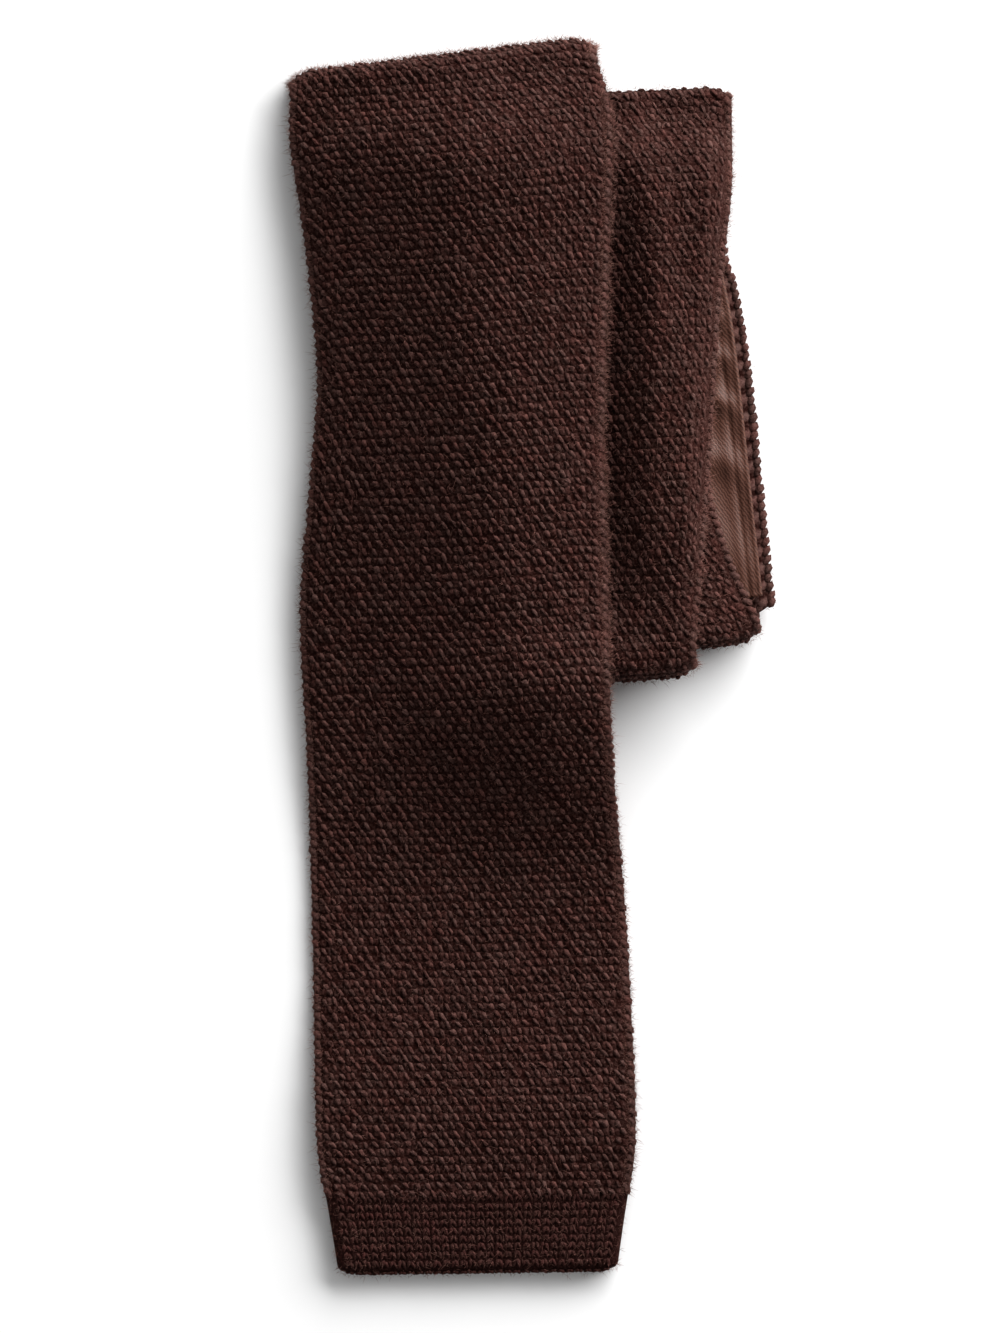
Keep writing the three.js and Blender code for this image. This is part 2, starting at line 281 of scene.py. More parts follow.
def underside(level, points):
    """How high the runs below lift a run of this level, draped over them."""
    drape = blade_drape if level == blade_run["level"] else inner_drape
    height = np.zeros(points.shape[:-1])
    for outline, room in layers[:level]:
        away = distance_outside(outline, points) - rest_margin
        height += room * (1 - smooth_step(away / drape))
    for crease, from_level in lofts:
        if from_level <= level:
            near = distance_outside(crease.reshape(-1, 2), points) / loft_reach
            height += fold_loft * (1 - smooth_step(near))
    return height


def knit_height(run, points):
    height = underside(run["level"], points) + knit_thickness / 2
    if run is blade_run:
        to_seam = (points - hem_seam) @ blade_way
        height += hem_lift * smooth_step((to_seam + hem_rise) / (hem_rise * hem_rise_share))
    return height


grid_sides = np.linspace(-1, 1, 41)
fold_steps = 16
row_step = 3 * MM


def corner_pull(width):
    """How far a crease's corners are drawn back, so that they are round."""
    from_edge = (1 - np.abs(grid_sides)) * width / 2
    return fold_corner_pull * np.maximum(1 - from_edge / fold_corner_reach, 0) ** 2


def fold_between(before, after, turn, is_top):
    """The points where the strip leaves one run and enters the next, and the rows of the fold."""
    outward = down(turn) * (-1 if is_top else 1)
    pull = corner_pull(after["widths"][0])
    line = plan_points(after, 0, grid_sides) - pull[:, None] * outward
    upper, lower = (before, after) if before["level"] > after["level"] else (after, before)
    rise = knit_height(upper, line) - knit_height(lower, line)
    depth = np.maximum(fold_depth_share * rise / 2, least_fold_depth)
    feet = line - (depth + knit_thickness / 2)[:, None] * outward
    low = knit_height(before, feet)
    high = knit_height(after, feet)
    rows = []
    for k in range(1, fold_steps):
        angle = math.pi * k / fold_steps
        place = feet + (depth * math.sin(angle))[:, None] * outward
        height = low + (high - low) * (1 - math.cos(angle)) / 2
        rows.append(np.column_stack([place, height]))
    return feet, rows


folds = [
    fold_between(blade_run, under_run, top_turn, True),
    fold_between(under_run, second_run, lower_turn, False),
    fold_between(second_run, third_run, neck_turn, True),
    fold_between(third_run, fourth_run, inner_turn, False),
    fold_between(fourth_run, tail_run, tail_turn, True),
]

strip_rows = []
run_first_row = []
for number, run in enumerate(runs):
    run_first_row.append(len(strip_rows))
    count = math.ceil(np.linalg.norm(run["end"] - run["start"]) / row_step)
    start_feet = folds[number - 1][0] - plan_points(run, 0, grid_sides) if number else 0
    end_feet = folds[number][0] - plan_points(run, 1, grid_sides) if number < len(folds) else 0
    for along in np.linspace(0, 1, count + 1):
        place = plan_points(run, along, grid_sides) + start_feet * (1 - along) + end_feet * along
        strip_rows.append(np.column_stack([place, knit_height(run, place)]))
    if number < len(folds):
        strip_rows.extend(folds[number][1])
strip = np.array(strip_rows)
for _ in range(2):
    strip[1:-1] = (strip[:-2] + 2 * strip[1:-1] + strip[2:]) / 4
strip[-1, :, :2] -= corner_pull(tail_width)[:, None] * tail_way
node_low, node_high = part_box("knit_body")
shift = np.array([
    (node_low[0] + node_high[0] - strip[..., 0].min() - strip[..., 0].max()) / 2,
    node_high[1] - strip[..., 1].max() - knit_thickness / 2,
    0,
])
strip += shift

# Swells: the springy knit stands off a plain drape in a few long, gentle swells, given by middle,
# reach and height in mm. It rounds off towards its edges, more so in the blade's upper part.
blade_swells = {
    "x": [-2, -22, 10, 2],
    "y": [79, 117, -17, -113],
    "across": [21, 40, 24, 32],
    "along": [52, 9, 26, 14],
    "height": [2.6, 2.2, 2.0, 1.4],
}
edge_round = 2.2 * MM
edge_round_end = 0.5 * MM
edge_round_power = 5
edge_round_part = (0.3, 0.35)
blade_stand = 1.0 * MM
blade_stand_part = (0.35, 0.3)
blade_stand_side = (-0.3, 0.7)
second_swell = 5.2 * MM
second_rise = 12 * MM
second_edge_drop = 0.85
second_edge_side = (0.78, 0.22)
second_low_fade = 0.27
second_high_fade = 0.24
crease_fade = 0.1


def rise_over(x, part):
    """From 0 to 1 over a part of x, given by where it starts and how long it is."""
    return smooth_step((x - part[0]) / part[1])


blade_rows = strip[run_first_row[0]:run_first_row[1] - fold_steps + 1]
blade_swell = np.zeros(blade_rows.shape[:2])
for x, y, across, along, height in zip(*blade_swells.values()):
    dx = (blade_rows[..., 0] / MM - x) / across
    dy = (blade_rows[..., 1] / MM - y) / along
    blade_swell += height * MM * np.exp(-dx * dx - dy * dy)
share_up = np.linspace(0, 1, len(blade_rows))[:, None]
rounding = edge_round_end + (edge_round - edge_round_end) * rise_over(share_up, edge_round_part)
blade_swell += rounding * (1 - np.abs(grid_sides) ** edge_round_power)
blade_swell += (
    blade_stand * rise_over(share_up, blade_stand_part) * rise_over(grid_sides, blade_stand_side))
blade_fade = smooth_step(share_up / crease_fade) * smooth_step((1 - share_up) / crease_fade)
blade_rows[..., 2] += blade_swell * blade_fade
second_rows = strip[run_first_row[2]:run_first_row[3] - fold_steps + 1]
share_up = np.linspace(0, 1, len(second_rows))[:, None]
blade_edge = np.interp(second_rows[..., 1], blade_rows[:, -1, 1], blade_rows[:, -1, 0])
second_across = smooth_step((second_rows[..., 0] - blade_edge) / second_rise)
second_across = second_across * (1 - second_edge_drop * rise_over(grid_sides, second_edge_side))
second_along = smooth_step(share_up / second_low_fade) * smooth_step((1 - share_up) / second_high_fade)
second_rows[..., 2] += second_swell * second_across * second_along


def unit(vectors):
    return vectors / np.linalg.norm(vectors, axis=-1, keepdims=True)


def sheet_on(grid):
    """A sheet's middle surface with its directions, and how far along it each point lies."""
    across = np.gradient(grid, axis=1)
    along = np.gradient(grid, axis=0)
    length = np.zeros((*grid.shape[:2], 1))
    length[1:, :, 0] = np.cumsum(np.linalg.norm(np.diff(grid, axis=0), axis=-1), axis=0)
    normal = unit(np.cross(across, along))
    return {
        "place": grid, "normal": normal, "across": unit(np.cross(along, normal)),
        "along": unit(along), "length": length,
    }


def sample_rows(grid, places):
    """The grid's rows at fractional row numbers, on a smooth curve through them."""
    i = np.clip(np.floor(places).astype(int), 0, len(grid) - 2)
    t = (places - i).reshape(-1, *[1] * (grid.ndim - 1))
    a, b, c, d = (grid[np.clip(i + k, 0, len(grid) - 1)] for k in (-1, 0, 1, 2))
    return b + 0.5 * t * (c - a + t * (2 * a - 5 * b + 4 * c - d + t * (3 * (b - c) + d - a)))


def surface_at(sheet, distances, sides):
    """What a sheet holds at each distance along its middle and each side from -1 to 1."""
    middle = sheet["length"][:, sheet["length"].shape[1] // 2, 0]
    rows = np.interp(distances, middle, np.arange(len(middle)))
    columns = (sides + 1) / 2 * (sheet["length"].shape[1] - 1)
    found = {}
    for key, grid in sheet.items():
        found[key] = sample_rows(sample_rows(grid, rows).swapaxes(0, 1), columns).swapaxes(0, 1)
    return found


knit_sheet = sheet_on(strip)
knit_length = knit_sheet["length"][:, len(grid_sides) // 2, 0]
coarser = 1
yarn_draw = np.random.default_rng(11)

# Moss-like stitch: short slanting bulges of yarn on a staggered lattice, so that they line up in
# diagonal chains, and between them the sunk strands that join them. About one in six is rounder.
# Sizes, leans and places vary a little, by the values that end in vary.
stitch_pitch = 2.42 * MM
stitch_row = 1.87 * MM
stitch_lean = math.radians(33)
stitch_relief = 0.62 * MM
stitch_sink = 0.40 * MM
selvedge_width = 2.6 * MM
round_size = np.array([0.68, 0.58, 1.02]) * MM
round_share = 0.16
long_size = np.array([0.54, 0.58, 1.24]) * MM
size_vary = 0.13
lean_vary = 0.14
raised_tilt = 0.20
tilt_vary = 0.09
# Painted light: how light the raised stitches are painted, and how much that varies at random.
raised_light = 0.9
light_vary = 0.16
rise_vary = 0.07 * MM
place_vary = 0.16 * MM
sunk_size = np.array([1.12, 0.44, 1.40]) * MM
sunk_depth = 0.20 * MM
# Painted shade: the sunk strands are painted darker than the raised stitches.
sunk_light = 0.38
ply_size = np.array([0.24, 0.22, 0.90]) * MM
ply_rise = 0.36 * MM
ply_aside = -0.14 * MM
ply_vary = 0.15
# Painted highlight: the plies are painted lighter than the stitches under them, varying at random.
ply_light = 1.3
ply_light_vary = 0.2

# The parts of the strip that can be seen, where every stitch is modelled: from and to, in metres
# from the hem seam, and the side where they start.
top_fold_end = float(knit_length[run_first_row[1] + 2])
second_start = float(knit_length[run_first_row[2]])
second_end = float(knit_length[run_first_row[3]])
fourth_start = float(knit_length[run_first_row[4]])
fourth_end = float(knit_length[run_first_row[5]])
top_fold_start = top_fold_end - 12 * MM
shown_fade = 2 * MM
shown_side_fade = 0.06
fold_reach = 9 * MM
shown_parts = [
    (0.0, top_fold_end, -1.0),
    (second_start - fold_reach, second_end + fold_reach, -0.3),
    (fourth_start - fold_reach, fourth_end + fold_reach, 0.3),
]


def shown(sides, distances):
    """1 where the stitches are modelled one by one, and 0 where the wall's relief stands for them."""
    share = np.zeros(np.broadcast(sides, distances).shape)
    for start, end, least_side in shown_parts:
        after_start = smooth_step((distances - start) / shown_fade + 1)
        before_end = smooth_step((end - distances) / shown_fade + 1)
        inside = smooth_step((sides - least_side) / shown_side_fade + 1)
        share = np.maximum(share, after_start * before_end * inside)
    return share


relief_half_width = 0.9 * MM
relief_half_length = 1.35 * MM
relief_fullness = 0.6
relief_middle = 0.55
# Painted shade: the ground of a wall under modelled stitches, and the whole hem band wall, are painted
# this dark.
ground_light = 0.12


def moss_relief(u, v):
    """How far up a stitch each point lies, from 0 to 1, where stitches are left to the wall."""
    best = np.zeros(np.broadcast(u, v).shape)
    near_row = np.round(v / stitch_row)
    for step in (-1, 0, 1):
        r = near_row + step
        slide = u + 0.5 * stitch_pitch * r
        near = np.round(slide / stitch_pitch)
        for beside in (-1, 0, 1):
            dx = slide - (near + beside) * stitch_pitch
            dy = v - r * stitch_row
            across = dx * math.cos(stitch_lean) + dy * math.sin(stitch_lean)
            along = dy * math.cos(stitch_lean) - dx * math.sin(stitch_lean)
            inside = 1 - (across / relief_half_width) ** 2 - (along / relief_half_length) ** 2
            best = np.maximum(best, np.maximum(inside, 0) ** relief_fullness)
    return best


rim_shares = np.array([0, 0.1, 0.3, 0.6])
rim_draw_in = 0.15
rim_least = 0.12


def cloth_wall(
        name, sheet, start, end, width, thickness, spacing, columns, relief, rim_width, free_end=False):
    """A closed wall of cloth: a grid that runs once round it, whose two long sides are joined.
    It thins out over rim_width towards its sides, and towards its end where that is free."""
    upper_columns, lower_columns = columns
    distances = np.linspace(start, end, max(int((end - start) / spacing), 2) + 1)
    rim = rim_shares * rim_width * 2 / width
    inset = rim_width * 2 / width

    def face(count):
        return np.concatenate([-1 + rim, np.linspace(-1 + inset, 1 - inset, count), 1 - rim[::-1]])

    upper = face(upper_columns)
    sides = np.concatenate([upper, face(lower_columns)[::-1][1:-1]])
    drawn_in = 1 - 2 * rim_draw_in * rim_width / width
    facing = np.where(np.arange(len(sides)) < len(upper), 1.0, -1.0)
    at = surface_at(sheet, distances, sides * drawn_in)
    to_edge = np.broadcast_to((1 - np.abs(sides)) * width / 2, at["length"].shape[:2])
    if free_end:
        to_edge = np.minimum(to_edge, np.abs(distances - end)[:, None] + rim_least * MM)
    half = thickness / 2 * smooth_step(rim_least + to_edge / rim_width) * (np.abs(sides) < 1)
    # The relief also gives each point its painted light share, painted highlight and painted shade,
    # stored on the mesh below.
    height, top = relief(sides[None, :], at["length"][..., 0], width, facing)
    height = height * smooth_step(to_edge / rim_width)
    place = at["place"] + at["normal"] * (facing * (half + height * (half > 0)))[..., None]
    place[..., 2] = np.maximum(place[..., 2], 0)

    ring = len(sides)
    mesh = bmesh.new()
    uv = mesh.loops.layers.uv.new("flat")
    painted_light = mesh.verts.layers.float.new("painted_light")
    bmesh.ops.create_grid(mesh, x_segments=ring, y_segments=len(distances) - 1, size=1)
    mesh.verts.ensure_lookup_table()
    flat = {}
    for vert in mesh.verts:
        k = round((vert.co.x + 1) / 2 * ring)
        r = round((vert.co.y + 1) / 2 * (len(distances) - 1))
        flat[vert] = (sides[k % ring] * width / 2, distances[r])
        vert[painted_light] = top[r, k % ring]
        vert.co = place[r, k % ring]
    for made in mesh.faces:
        made.smooth = True
        for loop in made.loops:
            loop[uv].uv = flat[loop.vert]
    bmesh.ops.remove_doubles(mesh, verts=mesh.verts, dist=1e-7)
    open_edges = [edge for edge in mesh.edges if edge.is_boundary]
    caps = bmesh.ops.holes_fill(mesh, edges=open_edges, sides=0)["faces"]
    bmesh.ops.triangulate(mesh, faces=caps)
    bmesh.ops.recalc_face_normals(mesh, faces=mesh.faces)
    return finished(name, mesh)


def finished(name, mesh):
    """A bmesh as an object of the scene."""
    data = bpy.data.meshes.new(name)
    mesh.to_mesh(data)
    mesh.free()
    piece = bpy.data.objects.new(name, data)
    bpy.context.collection.objects.link(piece)
    return piece


def knit_relief(sides, distances, width, facing):
    """Low relief of a knit wall: sunk under modelled stitches, stitch-shaped elsewhere. With it, a
    painted light share: painted highlight up the stitch-shaped relief, painted shade on the sunk ground.
    """
    top = moss_relief(sides * width / 2 + np.where(facing > 0, 0, 0.4 * stitch_pitch), distances)
    covered = shown(sides, distances) * (facing > 0)
    height = (top - relief_middle) * stitch_relief * (1 - covered) - stitch_sink * covered
    return height, top * (1 - covered) + ground_light * covered


def knit_wall(name, first, last, spacing, columns, width, free_end=False):
    start, end = knit_length[first], knit_length[last]
    return cloth_wall(
        name, knit_sheet, start, end, width, knit_thickness, spacing * coarser, columns, knit_relief,
        selvedge_width, free_end)


under_cut = run_first_row[1] + 8
third_cut = run_first_row[3] + 5
strip_end = len(strip) - 1
blade_knit = knit_wall("blade_knit", 0, under_cut, 0.95 * MM, (78 // coarser, 26), blade_width)
roll_knit = knit_wall("roll_knit", under_cut, third_cut, 0.84 * MM, (100 // coarser, 22), neck_width)
tail_knit = knit_wall(
    "tail_knit", third_cut, strip_end, 0.84 * MM, (62 // coarser, 62 // coarser), tail_width, True)


# Stitches: each is a short bulge of yarn, made once as a small tapered ball and copied along the
# knit. The raised ones carry the yarn's outermost ply, and sunk strands lie between them.
def small_shape(mesh, shade):
    """A small mesh's points and faces, and how light each point is on a stitch."""
    points = np.array([vert.co for vert in mesh.verts])
    faces = [[vert.index for vert in made.verts] for made in mesh.faces]
    mesh.free()
    return {"points": points, "faces": faces, "shade": shade(points[:, 1], points[:, 2])}


def from_above(up, yarn):
    """Light on top and towards the yarn's upper end."""
    return (0.5 + 0.5 * up) * (0.78 + 0.22 * yarn)


def from_both_faces(up, yarn):
    """Light on the front and the back alike."""
    return (0.3 + 0.7 * np.abs(up)) * (0.9 + 0.1 * yarn)


ball_flare = 0.24
ball_lift = 0.14
ply_bend = 0.9
ball_mesh = bmesh.new()
bmesh.ops.create_uvsphere(ball_mesh, u_segments=6, v_segments=3, radius=1)
edge_ball = small_shape(ball_mesh.copy(), from_both_faces)
for vert in ball_mesh.verts:
    vert.co.x *= 1 + ball_flare * vert.co.z
    vert.co.y *= 1 + ball_lift * vert.co.z
ball = small_shape(ball_mesh, from_above)
lump_mesh = bmesh.new()
bmesh.ops.create_icosphere(lump_mesh, subdivisions=1, radius=1)
lump = small_shape(lump_mesh, from_above)
ply_mesh = bmesh.new()
bmesh.ops.create_uvsphere(ply_mesh, u_segments=4, v_segments=3, radius=1)
for vert in ply_mesh.verts:
    vert.co.y -= ply_bend * vert.co.z ** 2
# Painted highlight on each ply, lighter towards its upper end.
ply = small_shape(ply_mesh, lambda up, yarn: 0.85 + 0.15 * yarn)


def copies(name, shape, places, axes, light_shares, tones):
    """One small shape, copied to each place and stretched along that place's three axes. What
    would reach below the table is pressed flat on it."""
    points = shape["points"]
    faces = shape["faces"]
    count = len(places)
    step = len(points)
    data = bpy.data.meshes.new(name)
    verts = (places[:, None] + np.einsum("pk,nkc->npc", points, axes)).reshape(-1, 3)
    verts[:, 2] = np.maximum(verts[:, 2], 0)
    tiled = [[corner + n * step for corner in face] for n in range(count) for face in faces]
    data.from_pydata(verts.tolist(), [], tiled)
    data.shade_smooth()
    # Painted light and shade: each copy's painted light share times its shape's painted shading, on every
    # point.
    painted_light = data.attributes.new("painted_light", "FLOAT", "POINT")
    painted_light.data.foreach_set("value", (light_shares[:, None] * shape["shade"]).reshape(-1))
    tone = data.attributes.new("yarn_tone", "FLOAT", "POINT")
    tone.data.foreach_set("value", np.repeat(tones, step))
    piece = bpy.data.objects.new(name, data)
    bpy.context.collection.objects.link(piece)
    return piece


def stitch_axes(at, size, lean, tilt):
    """Axes of a stitch: across it, up from the knit, and along its yarn, which leans and tilts."""
    lean = lean[:, None]
    tilt = tilt[:, None]
    yarn = at["along"] * np.cos(lean) - at["across"] * np.sin(lean)
    beside = at["across"] * np.cos(lean) + at["along"] * np.sin(lean)
    up = at["normal"] * np.cos(tilt) - yarn * np.sin(tilt)
    yarn = yarn * np.cos(tilt) + at["normal"] * np.sin(tilt)
    return np.stack([beside * size[:, :1], up * size[:, 1:2], yarn * size[:, 2:]], axis=1)


def stitches(name, parts, width, raised, with_plies=False):
    """The raised or the sunk stitches of the shown parts of the knit. The raised ones may have the
    yarn's outermost ply on top of each, which catches the light."""
    places = []
    axes = []
    light_shares = []
    ply_places = []
    ply_axes = []
    for start, end, least_side in parts:
        rows = np.arange(math.ceil(start / stitch_row), math.floor(end / stitch_row) + 1)
        most = math.floor((width / 2 - selvedge_width) * 2 / stitch_pitch)
        halves = np.arange(-most, most + 1)
        sides = halves * stitch_pitch / width
        at = surface_at(knit_sheet, rows * stitch_row, sides)
        row, half = np.meshgrid(rows, halves, indexing="ij")
        keep = ((row + half) % 2 == (0 if raised else 1)) & (sides[None, :] >= least_side)
        at = {key: grid[keep] for key, grid in at.items()}
        count = int(keep.sum())
        is_round = yarn_draw.random(count) < (round_share if raised else 0)
        vary = yarn_draw.normal(size=(7, count))
        size = np.where(is_round[:, None], round_size, long_size if raised else sunk_size)
        size = size * (1 + size_vary * vary[0:3].T)
        lean = stitch_lean + lean_vary * vary[3]
        tilt = (raised_tilt if raised else 0.0) + tilt_vary * vary[4]
        rise = knit_thickness / 2 - stitch_sink + rise_vary * vary[5] - (0 if raised else sunk_depth)
        slide = place_vary * yarn_draw.normal(size=(2, count, 1))
        where = at["place"] + at["normal"] * rise[:, None]
        places.append(where + at["across"] * slide[0] + at["along"] * slide[1])
        axes.append(stitch_axes(at, size, lean, tilt))
        top = (raised_light if raised else sunk_light) * (1 + light_vary * vary[6])
        light_shares.append(np.clip(top, 0.2, 1.3))
        if with_plies:
            steep = lean + ply_vary * vary[0]
            ply_axes.append(stitch_axes(at, ply_size * (1 + ply_vary * vary[1:4].T), steep, tilt))
            ply_places.append(places[-1] + at["normal"] * ply_rise + at["across"] * ply_aside)
    places = np.concatenate(places)
    tones = yarn_draw.uniform(-1, 1, len(places))
    shape = ball if raised else lump
    made = copies(name, shape, places, np.concatenate(axes), np.concatenate(light_shares), tones)
    if not with_plies:
        return made
    ply_light_shares = np.clip(ply_light + ply_light_vary * yarn_draw.normal(size=len(places)), 0.6, 1.5)
    ply_places = np.concatenate(ply_places)
    ply_axes = np.concatenate(ply_axes)
    return made, copies(name.replace("stitches", "plies"), ply, ply_places, ply_axes, ply_light_shares, tones)


blade_stitches, blade_plies = stitches("blade_stitches", shown_parts[:1], blade_width, True, True)
blade_strands = stitches("blade_strands", shown_parts[:1], blade_width, False)
roll_stitches, roll_plies = stitches("roll_stitches", shown_parts[1:2], neck_width, True, True)
roll_strands = stitches("roll_strands", shown_parts[1:2], neck_width, False)
tail_stitches, tail_plies = stitches("tail_stitches", shown_parts[2:], tail_width, True, True)
tail_strands = stitches("tail_strands", shown_parts[2:], tail_width, False)

# Selvedges: the first stitch of each row, turned round the strip's edge, so that the edge looks
# like a twisted rope. The tail's free end is bound off in the same way.
rope_pitch = 2.05 * MM
rope_size = np.array([1.02, 1.04, 1.50]) * MM
rope_lean = math.radians(34)
rope_lean_vary = 0.1
rope_vary = 0.07
rope_place_vary = 0.08 * MM
# Painted light: how light the rope stitches are painted.
rope_light = 0.95


def selvedge(name, parts):
    """Rope-like edges: parts give the stretch, the width, the sides with an edge and its inset."""
    places = []
    axes = []
    for start, end, width, edges, rope_inset in parts:
        distances = np.arange(start + rope_pitch / 2, end, rope_pitch)
        for edge in edges:
            side = np.array([edge * (1 - 2 * rope_inset / width)] * 2)
            at = {key: grid[:, 0] for key, grid in surface_at(knit_sheet, distances, side).items()}
            count = len(distances)
            vary = yarn_draw.normal(size=(5, count))
            size = rope_size * (1 + rope_vary * vary[0:3].T)
            places.append(at["place"] + at["across"] * (rope_place_vary * vary[3])[:, None])
            axes.append(stitch_axes(at, size, rope_lean + rope_lean_vary * vary[4], np.zeros(count)))
    places = np.concatenate(places)
    tones = yarn_draw.uniform(-1, 1, len(places))
    light_shares = np.full(len(places), rope_light)
    return copies(name, edge_ball, places, np.concatenate(axes), light_shares, tones)


both_edges = (-1, 1)
rope_inset = 1.15 * MM
tail_rope_inset = 0.7 * MM
end_gap = 0.6 * MM
under_start = float(knit_length[under_cut])
third_start = float(knit_length[third_cut])
tail_start = float(knit_length[run_first_row[5]])
strip_reach = float(knit_length[-1])
blade_selvedge = selvedge("blade_selvedge", [(0, under_start, blade_width, both_edges, rope_inset)])
roll_selvedge = selvedge(
    "roll_selvedge", [(under_start, third_start, neck_width, both_edges, rope_inset)])
tail_selvedge = selvedge(
    "tail_selvedge", [(third_start, strip_reach - end_gap, tail_width, both_edges, tail_rope_inset)])

# Tail end: the last row of stitches, bound off, lies across the strip's free end.
end_left = 2.4 * MM
end_right = 1.6 * MM
end_inset = 1.3 * MM
end_lean = math.radians(60)
end_sides = np.arange(-tail_width / 2 + end_left, tail_width / 2 - end_right, rope_pitch)
end_sides = end_sides / (tail_width / 2)
end_at = surface_at(knit_sheet, np.array([strip_reach - end_inset]), end_sides)
end_at = {key: grid[0] for key, grid in end_at.items()}
end_count = len(end_sides)
end_vary = yarn_draw.normal(size=(4, end_count))
end_axes = stitch_axes(
    end_at, rope_size * (1 + rope_vary * end_vary[0:3].T), end_lean + rope_lean_vary * end_vary[3],
    np.zeros(end_count))
tail_binding = copies(
    "tail_binding", edge_ball, end_at["place"], end_axes, np.full(end_count, rope_light),
    yarn_draw.uniform(-1, 1, end_count))

# Hem band: a finer, plain knit joined to the blade's end and turned under, so that its bottom edge
# is a soft fold and its back wall runs up again beneath the blade.
hem_width = blade_width * 0.94
hem_back_share = 0.97
hem_allowance = 4 * MM
hem_front = hem_lift + hem_thickness / 2
hem_radius = hem_lift / 2
hem_foot = (hem_radius + hem_thickness / 2) / hem_length
hem_fold_steps = 10
hem_corner_share = 0.5


def hem_place(along, side):
    left = read_table(hem_edges, along, "left")
    right = read_table(hem_edges, along, "right")
    reach = np.abs(side) * np.where(side < 0, left, right) * blade_width
    middle = hem_seam + (hem_end - hem_seam) * along
    turn = math.radians(hem_line_turn)
    return np.column_stack([middle[0] + math.cos(turn) * reach, middle[1] + math.sin(turn) * reach])


hem_rows = []
for along in np.linspace(0, 1 - hem_foot, 7):
    hem_rows.append(np.column_stack([hem_place(along, grid_sides), np.full(len(grid_sides), hem_front)]))
for k in range(1, hem_fold_steps):
    angle = math.pi * k / hem_fold_steps
    place = hem_place(1 - hem_foot + hem_radius * math.sin(angle) / hem_length, grid_sides)
    pull = hem_corner_share * corner_pull(blade_width) * math.sin(angle)
    place = place - pull[:, None] * blade_way
    height = hem_front + (hem_thickness / 2 - hem_front) * (1 - math.cos(angle)) / 2
    hem_rows.append(np.column_stack([place, np.full(len(grid_sides), height)]))
for along in np.linspace(1 - hem_foot, -hem_allowance / hem_length, 8):
    place = hem_place(max(along, 0), grid_sides * hem_back_share) + blade_way * min(along, 0) * hem_length
    hem_rows.append(np.column_stack([place, np.full(len(grid_sides), hem_thickness / 2)]))
hem_sheet = sheet_on((np.array(hem_rows) + shift)[::-1])
hem_reach = float(hem_sheet["length"][-1, len(grid_sides) // 2, 0])
hem_pitch = 2.1 * MM
hem_row = 1.76 * MM
hem_leg_size = np.array([0.50, 0.42, 1.06]) * MM
hem_size_vary = 0.09
hem_leg_aside = 0.50 * MM
hem_leg_lean = math.radians(24)
hem_lean_vary = 0.1
hem_leg_tilt = 0.16
hem_tilt_vary = 0.05
hem_sink = 0.28 * MM
hem_rise_vary = 0.04 * MM
hem_place_vary = 0.06 * MM
hem_rim = 1.2 * MM


# The hem band's wall sinks under its stitches on the front, and is painted dark all over, as painted
# shade.
def hem_relief(sides, distances, width, facing):
    height = np.where(facing > 0, -hem_sink, 0) + 0 * sides * distances
    return height, np.full(height.shape, ground_light)


hem_band = cloth_wall(
    "hem_band", hem_sheet, 0, hem_reach, hem_width, hem_thickness, 0.8 * MM * coarser, (60, 30),
    hem_relief, hem_rim)

# Hem stitches: plain knit, two slanting legs to each stitch, leg beside leg.
hem_lines = np.arange(0.5 * hem_row, hem_reach, hem_row)
hem_half_count = hem_width / 2 / hem_pitch
hem_columns = np.arange(-math.floor(hem_half_count) + 0.5, hem_half_count - 0.5) * hem_pitch
hem_places = []
hem_axes = []
for leg in (-1, 1):
    sides = (hem_columns + leg * hem_leg_aside) / (hem_width / 2)
    at = surface_at(hem_sheet, hem_lines, sides)
    at = {key: grid.reshape(-1, grid.shape[-1]) for key, grid in at.items()}
    count = len(at["place"])
    vary = yarn_draw.normal(size=(6, count))
    rise = hem_thickness / 2 - hem_sink + hem_rise_vary * vary[5]
    slide = hem_place_vary * yarn_draw.normal(size=(2, count, 1))
    where = at["place"] + at["normal"] * rise[:, None]
    hem_places.append(where + at["across"] * slide[0] + at["along"] * slide[1])
    size = hem_leg_size * (1 + hem_size_vary * vary[0:3].T)
    lean = leg * hem_leg_lean + hem_lean_vary * vary[3]
    hem_axes.append(stitch_axes(at, size, lean, hem_leg_tilt + hem_tilt_vary * vary[4]))
hem_places = np.concatenate(hem_places)
hem_count = len(hem_places)
# Painted light: how light the hem's stitches are painted, varying at random.
hem_light_shares = np.clip(0.9 + 0.1 * yarn_draw.normal(size=hem_count), 0.5, 1.1)
hem_tones = yarn_draw.uniform(-1, 1, hem_count)
hem_stitches = copies("hem_stitches", ball, hem_places, np.concatenate(hem_axes), hem_light_shares, hem_tones)
